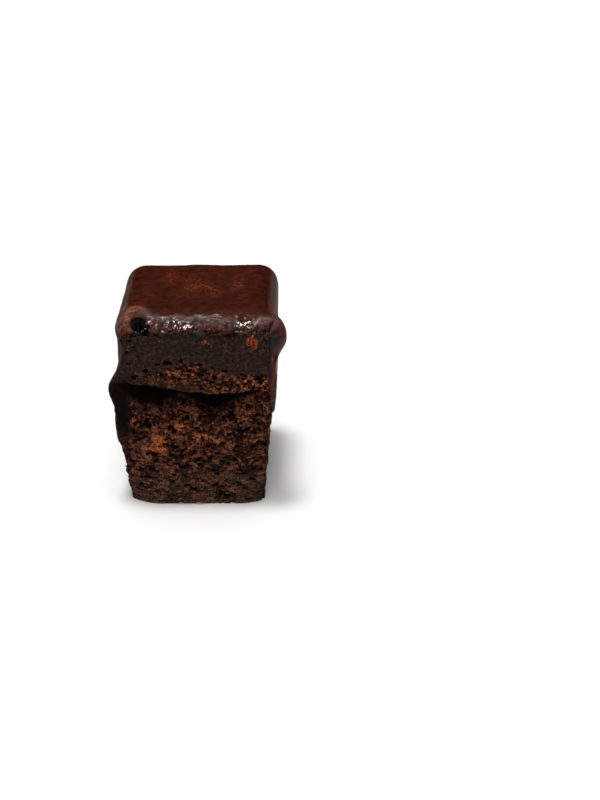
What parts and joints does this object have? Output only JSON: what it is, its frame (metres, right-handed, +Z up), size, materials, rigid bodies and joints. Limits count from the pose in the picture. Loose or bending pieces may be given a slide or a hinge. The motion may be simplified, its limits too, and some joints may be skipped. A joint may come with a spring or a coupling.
{
  "type": "chocolate brownie",
  "caption": "Tall block of chocolate brownie with a cut porous face, a dense fudge layer and a poured chocolate glaze.",
  "frame": {"origin": "centre of the bounding box, on the flat base", "axes": "+Z up from the base, -Y out of the cut face, +X to the right of someone who looks at the cut face"},
  "size_m": [0.0474, 0.05, 0.0529],
  "materials": {
    "crumb": "dry porous baked crumb",
    "fudge": "dense moist fudge, matt where it was cut",
    "glaze": "set chocolate glaze, satin",
    "nut": "roasted nut bit"
  },
  "bodies": {
    "root": {"crumb": "crumb", "fudge": "fudge", "glaze": "glaze"}
  },
  "joints": []
}
